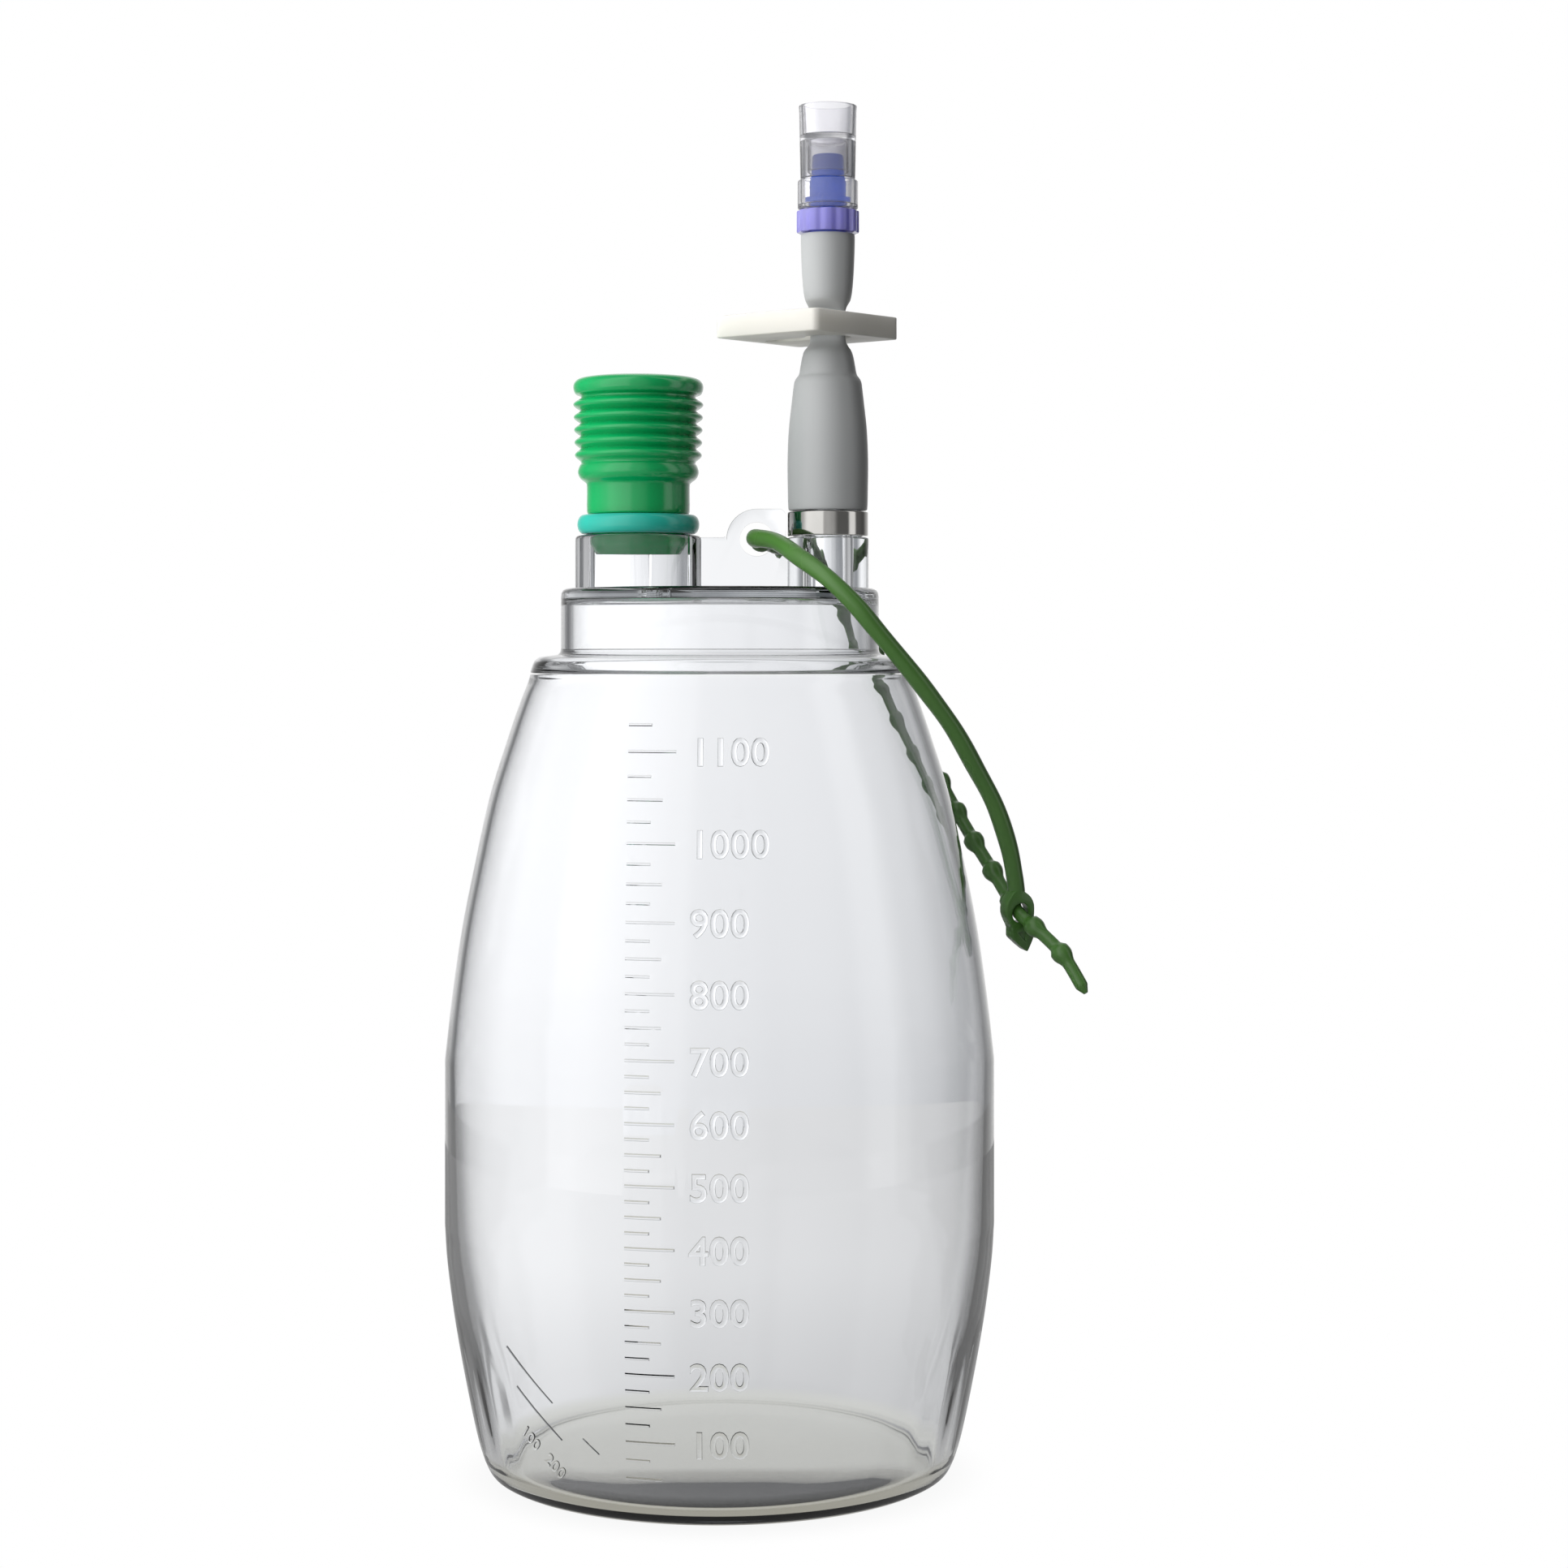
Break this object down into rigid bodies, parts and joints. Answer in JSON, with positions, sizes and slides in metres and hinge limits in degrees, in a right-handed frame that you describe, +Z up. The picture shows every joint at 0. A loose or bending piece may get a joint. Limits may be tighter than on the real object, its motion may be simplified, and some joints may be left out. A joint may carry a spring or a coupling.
{
  "type": "vacuum drainage bottle",
  "caption": "Clear graduated vacuum drainage bottle with a bellows indicator, rubber connector tube, slide clamp, capped luer end and hanging strap.",
  "frame": {"origin": "centre of the flat underside of the bottle, on the surface it stands on", "axes": "+Z up along the bottle's axis; -Y is the graduated front; +X is the side with the connector tube and the strap's free end"},
  "size_m": [0.1268, 0.1089, 0.2703],
  "materials": {
    "clear_plastic": "clear, glossy, faintly blue-grey at the edges",
    "clear_plastic_top": "clear, glossy, thick walled",
    "clear_plastic_small": "clear, glossy, faint violet",
    "bright_metal": "bright, polished",
    "teal_elastomer": "glossy teal",
    "green_elastomer": "glossy green",
    "grey_rubber": "satin mid grey",
    "white_plastic": "satin cream white",
    "blue_plastic": "tinted blue, glossy",
    "violet_plastic": "tinted clear violet, fluted",
    "strap_rubber": "satin leaf green"
  },
  "bodies": {
    "bottle": {"bottle_body": "clear_plastic", "bottle_top": "clear_plastic_top", "nozzle_band": "bright_metal", "indicator_ring": "teal_elastomer", "indicator_root": "green_elastomer", "indicator_bellows": "green_elastomer", "connector_tube": "grey_rubber", "luer_hub": "blue_plastic", "grip_ring": "violet_plastic", "strap_front": "strap_rubber", "strap_tail": "strap_rubber"},
    "crown": {"indicator_crown": "green_elastomer"},
    "clamp": {"slide_clamp": "white_plastic"},
    "collar": {"lock_collar": "clear_plastic_small"},
    "cap": {"luer_cap": "clear_plastic_small"}
  },
  "joints": [
    {"name": "bellows_press", "type": "slide", "parent": "bottle", "child": "crown", "axis": [0, 0, -1], "range_m": [0, 0.008], "stiffness_N_per_m": 1500, "deforming": ["indicator_bellows"]},
    {"name": "clamp_slide", "type": "slide", "parent": "bottle", "child": "clamp", "axis": [0.766, -0.6428, 0], "range_m": [0, 0.01]},
    {"name": "collar_turn", "type": "hinge", "parent": "bottle", "child": "collar", "pos_m": [0.0214, 0, 0.2526], "axis": [0, 0, 1], "continuous": true},
    {"name": "cap_pull", "type": "slide", "parent": "bottle", "child": "cap", "axis": [0, 0, 1], "range_m": [0, 0.02]}
  ]
}
